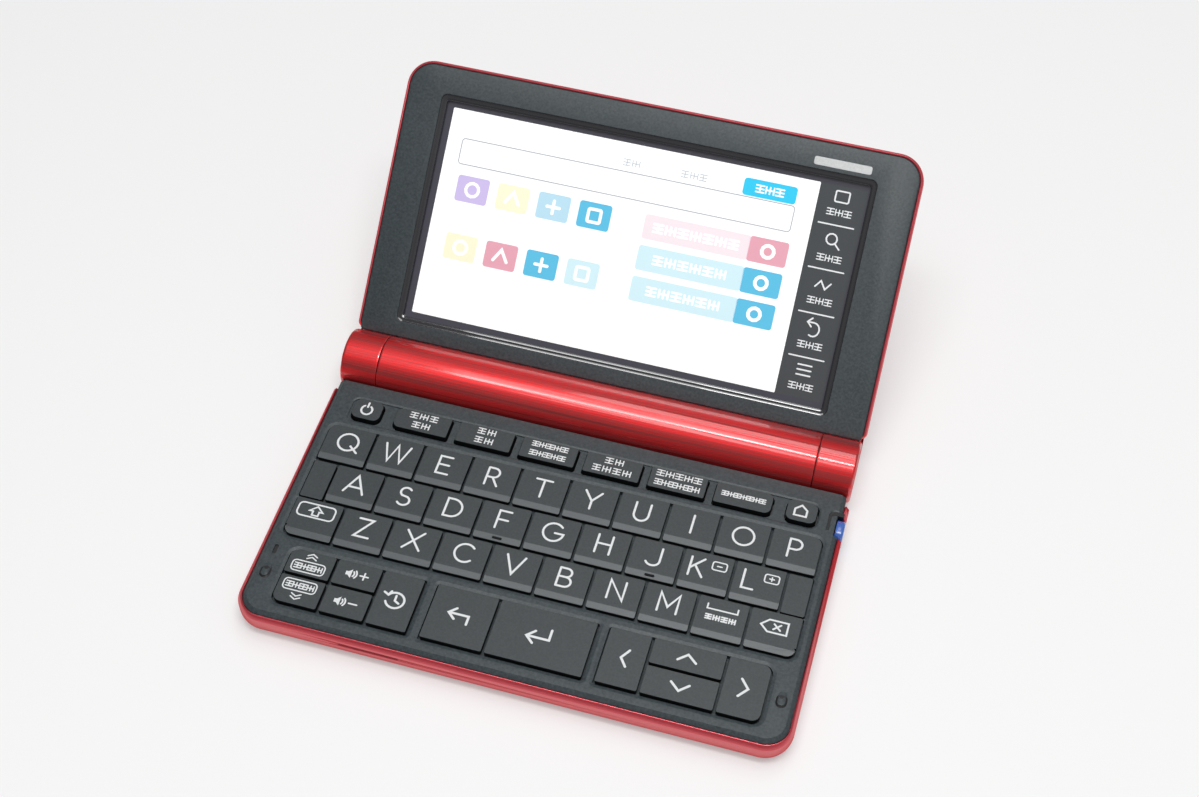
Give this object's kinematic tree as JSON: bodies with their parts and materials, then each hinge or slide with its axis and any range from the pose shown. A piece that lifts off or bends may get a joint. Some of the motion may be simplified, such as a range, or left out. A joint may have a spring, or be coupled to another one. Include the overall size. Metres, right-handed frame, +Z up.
{
  "type": "electronic dictionary",
  "caption": "Pocket electronic dictionary with a folding screen lid, a battery barrel at the hinge, a letter keyboard and a side stylus.",
  "frame": {"origin": "on the table under the middle of the open object's box", "axes": "+X to the user's right along the hinge, +Y from the front edge towards the hinge and the open lid, +Z up from the table"},
  "size_m": [0.148, 0.1584, 0.0629],
  "materials": {
    "red_shell": "metallic red paint under clear gloss",
    "slate_panel": "fine satin texture",
    "key_plastic": "satin",
    "screen_glass": "glossy, display behind it",
    "module_metal": "plain sheet",
    "hinge_steel": "plated",
    "board": "lacquered circuit board",
    "mat_rubber": "silicone",
    "black_plastic": "moulded",
    "cell_jacket": "plain printed jacket without marks",
    "stylus_blue": "translucent gloss"
  },
  "bodies": {
    "base": {"bottom_case": "red_shell", "keyboard_panel": "slate_panel", "barrel_cover": "red_shell", "main_board": "board", "key_mat": "mat_rubber", "speaker": "black_plastic", "battery_left": "cell_jacket", "battery_right": "cell_jacket", "battery_spring": "hinge_steel"},
    "lid": {"lid_cover": "red_shell", "lid_bezel": "slate_panel", "touch_panel": "screen_glass", "lcd_module": "module_metal", "hinge_left": "hinge_steel", "hinge_right": "hinge_steel"},
    "battery_cover": {"battery_cover": "red_shell"},
    "stylus": {"stylus": "stylus_blue"},
    "shortcut_keys": {"shortcut_keys": "key_plastic"},
    "key_power": {"key_power": "key_plastic"},
    "key_home": {"key_home": "key_plastic"},
    "key_q": {"key_q": "key_plastic"},
    "key_w": {"key_w": "key_plastic"},
    "key_e": {"key_e": "key_plastic"},
    "key_r": {"key_r": "key_plastic"},
    "key_t": {"key_t": "key_plastic"},
    "key_y": {"key_y": "key_plastic"},
    "key_u": {"key_u": "key_plastic"},
    "key_i": {"key_i": "key_plastic"},
    "key_o": {"key_o": "key_plastic"},
    "key_p": {"key_p": "key_plastic"},
    "key_a": {"key_a": "key_plastic"},
    "key_s": {"key_s": "key_plastic"},
    "key_d": {"key_d": "key_plastic"},
    "key_f": {"key_f": "key_plastic"},
    "key_g": {"key_g": "key_plastic"},
    "key_h": {"key_h": "key_plastic"},
    "key_j": {"key_j": "key_plastic"},
    "key_k": {"key_k": "key_plastic"},
    "key_l": {"key_l": "key_plastic"},
    "key_z": {"key_z": "key_plastic"},
    "key_x": {"key_x": "key_plastic"},
    "key_c": {"key_c": "key_plastic"},
    "key_v": {"key_v": "key_plastic"},
    "key_b": {"key_b": "key_plastic"},
    "key_n": {"key_n": "key_plastic"},
    "key_m": {"key_m": "key_plastic"},
    "key_shift": {"key_shift": "key_plastic"},
    "key_space": {"key_space": "key_plastic"},
    "key_delete": {"key_delete": "key_plastic"},
    "key_page_up": {"key_page_up": "key_plastic"},
    "key_page_down": {"key_page_down": "key_plastic"},
    "key_volume_up": {"key_volume_up": "key_plastic"},
    "key_volume_down": {"key_volume_down": "key_plastic"},
    "key_history": {"key_history": "key_plastic"},
    "key_back": {"key_back": "key_plastic"},
    "key_enter": {"key_enter": "key_plastic"},
    "key_left": {"key_left": "key_plastic"},
    "key_up": {"key_up": "key_plastic"},
    "key_down": {"key_down": "key_plastic"},
    "key_right": {"key_right": "key_plastic"}
  },
  "joints": [
    {"name": "lid_hinge", "type": "hinge", "parent": "base", "child": "lid", "pos_m": [0, 0.00843, 0.00847], "axis": [1, 0, 0], "range_deg": [-5, 139.85]},
    {"name": "stylus_slide", "type": "slide", "parent": "base", "child": "stylus", "axis": [1, 0, 0], "range_m": [0, 0.088]},
    {"name": "battery_cover_slide", "type": "slide", "parent": "base", "child": "battery_cover", "axis": [0, 1, 0], "range_m": [0, 0.018]},
    {"name": "shortcut_keys_press", "type": "slide", "parent": "base", "child": "shortcut_keys", "axis": [0, 0, -1], "range_m": [0, 0.0005], "stiffness_N_per_m": 500},
    {"name": "key_power_press", "type": "slide", "parent": "base", "child": "key_power", "axis": [0, 0, -1], "range_m": [0, 0.0005], "stiffness_N_per_m": 500},
    {"name": "key_home_press", "type": "slide", "parent": "base", "child": "key_home", "axis": [0, 0, -1], "range_m": [0, 0.0005], "stiffness_N_per_m": 500},
    {"name": "key_q_press", "type": "slide", "parent": "base", "child": "key_q", "axis": [0, 0, -1], "range_m": [0, 0.0005], "stiffness_N_per_m": 500},
    {"name": "key_w_press", "type": "slide", "parent": "base", "child": "key_w", "axis": [0, 0, -1], "range_m": [0, 0.0005], "stiffness_N_per_m": 500},
    {"name": "key_e_press", "type": "slide", "parent": "base", "child": "key_e", "axis": [0, 0, -1], "range_m": [0, 0.0005], "stiffness_N_per_m": 500},
    {"name": "key_r_press", "type": "slide", "parent": "base", "child": "key_r", "axis": [0, 0, -1], "range_m": [0, 0.0005], "stiffness_N_per_m": 500},
    {"name": "key_t_press", "type": "slide", "parent": "base", "child": "key_t", "axis": [0, 0, -1], "range_m": [0, 0.0005], "stiffness_N_per_m": 500},
    {"name": "key_y_press", "type": "slide", "parent": "base", "child": "key_y", "axis": [0, 0, -1], "range_m": [0, 0.0005], "stiffness_N_per_m": 500},
    {"name": "key_u_press", "type": "slide", "parent": "base", "child": "key_u", "axis": [0, 0, -1], "range_m": [0, 0.0005], "stiffness_N_per_m": 500},
    {"name": "key_i_press", "type": "slide", "parent": "base", "child": "key_i", "axis": [0, 0, -1], "range_m": [0, 0.0005], "stiffness_N_per_m": 500},
    {"name": "key_o_press", "type": "slide", "parent": "base", "child": "key_o", "axis": [0, 0, -1], "range_m": [0, 0.0005], "stiffness_N_per_m": 500},
    {"name": "key_p_press", "type": "slide", "parent": "base", "child": "key_p", "axis": [0, 0, -1], "range_m": [0, 0.0005], "stiffness_N_per_m": 500},
    {"name": "key_a_press", "type": "slide", "parent": "base", "child": "key_a", "axis": [0, 0, -1], "range_m": [0, 0.0005], "stiffness_N_per_m": 500},
    {"name": "key_s_press", "type": "slide", "parent": "base", "child": "key_s", "axis": [0, 0, -1], "range_m": [0, 0.0005], "stiffness_N_per_m": 500},
    {"name": "key_d_press", "type": "slide", "parent": "base", "child": "key_d", "axis": [0, 0, -1], "range_m": [0, 0.0005], "stiffness_N_per_m": 500},
    {"name": "key_f_press", "type": "slide", "parent": "base", "child": "key_f", "axis": [0, 0, -1], "range_m": [0, 0.0005], "stiffness_N_per_m": 500},
    {"name": "key_g_press", "type": "slide", "parent": "base", "child": "key_g", "axis": [0, 0, -1], "range_m": [0, 0.0005], "stiffness_N_per_m": 500},
    {"name": "key_h_press", "type": "slide", "parent": "base", "child": "key_h", "axis": [0, 0, -1], "range_m": [0, 0.0005], "stiffness_N_per_m": 500},
    {"name": "key_j_press", "type": "slide", "parent": "base", "child": "key_j", "axis": [0, 0, -1], "range_m": [0, 0.0005], "stiffness_N_per_m": 500},
    {"name": "key_k_press", "type": "slide", "parent": "base", "child": "key_k", "axis": [0, 0, -1], "range_m": [0, 0.0005], "stiffness_N_per_m": 500},
    {"name": "key_l_press", "type": "slide", "parent": "base", "child": "key_l", "axis": [0, 0, -1], "range_m": [0, 0.0005], "stiffness_N_per_m": 500},
    {"name": "key_z_press", "type": "slide", "parent": "base", "child": "key_z", "axis": [0, 0, -1], "range_m": [0, 0.0005], "stiffness_N_per_m": 500},
    {"name": "key_x_press", "type": "slide", "parent": "base", "child": "key_x", "axis": [0, 0, -1], "range_m": [0, 0.0005], "stiffness_N_per_m": 500},
    {"name": "key_c_press", "type": "slide", "parent": "base", "child": "key_c", "axis": [0, 0, -1], "range_m": [0, 0.0005], "stiffness_N_per_m": 500},
    {"name": "key_v_press", "type": "slide", "parent": "base", "child": "key_v", "axis": [0, 0, -1], "range_m": [0, 0.0005], "stiffness_N_per_m": 500},
    {"name": "key_b_press", "type": "slide", "parent": "base", "child": "key_b", "axis": [0, 0, -1], "range_m": [0, 0.0005], "stiffness_N_per_m": 500},
    {"name": "key_n_press", "type": "slide", "parent": "base", "child": "key_n", "axis": [0, 0, -1], "range_m": [0, 0.0005], "stiffness_N_per_m": 500},
    {"name": "key_m_press", "type": "slide", "parent": "base", "child": "key_m", "axis": [0, 0, -1], "range_m": [0, 0.0005], "stiffness_N_per_m": 500},
    {"name": "key_shift_press", "type": "slide", "parent": "base", "child": "key_shift", "axis": [0, 0, -1], "range_m": [0, 0.0005], "stiffness_N_per_m": 500},
    {"name": "key_space_press", "type": "slide", "parent": "base", "child": "key_space", "axis": [0, 0, -1], "range_m": [0, 0.0005], "stiffness_N_per_m": 500},
    {"name": "key_delete_press", "type": "slide", "parent": "base", "child": "key_delete", "axis": [0, 0, -1], "range_m": [0, 0.0005], "stiffness_N_per_m": 500},
    {"name": "key_page_up_press", "type": "slide", "parent": "base", "child": "key_page_up", "axis": [0, 0, -1], "range_m": [0, 0.0005], "stiffness_N_per_m": 500},
    {"name": "key_page_down_press", "type": "slide", "parent": "base", "child": "key_page_down", "axis": [0, 0, -1], "range_m": [0, 0.0005], "stiffness_N_per_m": 500},
    {"name": "key_volume_up_press", "type": "slide", "parent": "base", "child": "key_volume_up", "axis": [0, 0, -1], "range_m": [0, 0.0005], "stiffness_N_per_m": 500},
    {"name": "key_volume_down_press", "type": "slide", "parent": "base", "child": "key_volume_down", "axis": [0, 0, -1], "range_m": [0, 0.0005], "stiffness_N_per_m": 500},
    {"name": "key_history_press", "type": "slide", "parent": "base", "child": "key_history", "axis": [0, 0, -1], "range_m": [0, 0.0005], "stiffness_N_per_m": 500},
    {"name": "key_back_press", "type": "slide", "parent": "base", "child": "key_back", "axis": [0, 0, -1], "range_m": [0, 0.0005], "stiffness_N_per_m": 500},
    {"name": "key_enter_press", "type": "slide", "parent": "base", "child": "key_enter", "axis": [0, 0, -1], "range_m": [0, 0.0005], "stiffness_N_per_m": 500},
    {"name": "key_left_press", "type": "slide", "parent": "base", "child": "key_left", "axis": [0, 0, -1], "range_m": [0, 0.0005], "stiffness_N_per_m": 500},
    {"name": "key_up_press", "type": "slide", "parent": "base", "child": "key_up", "axis": [0, 0, -1], "range_m": [0, 0.0005], "stiffness_N_per_m": 500},
    {"name": "key_down_press", "type": "slide", "parent": "base", "child": "key_down", "axis": [0, 0, -1], "range_m": [0, 0.0005], "stiffness_N_per_m": 500},
    {"name": "key_right_press", "type": "slide", "parent": "base", "child": "key_right", "axis": [0, 0, -1], "range_m": [0, 0.0005], "stiffness_N_per_m": 500}
  ]
}
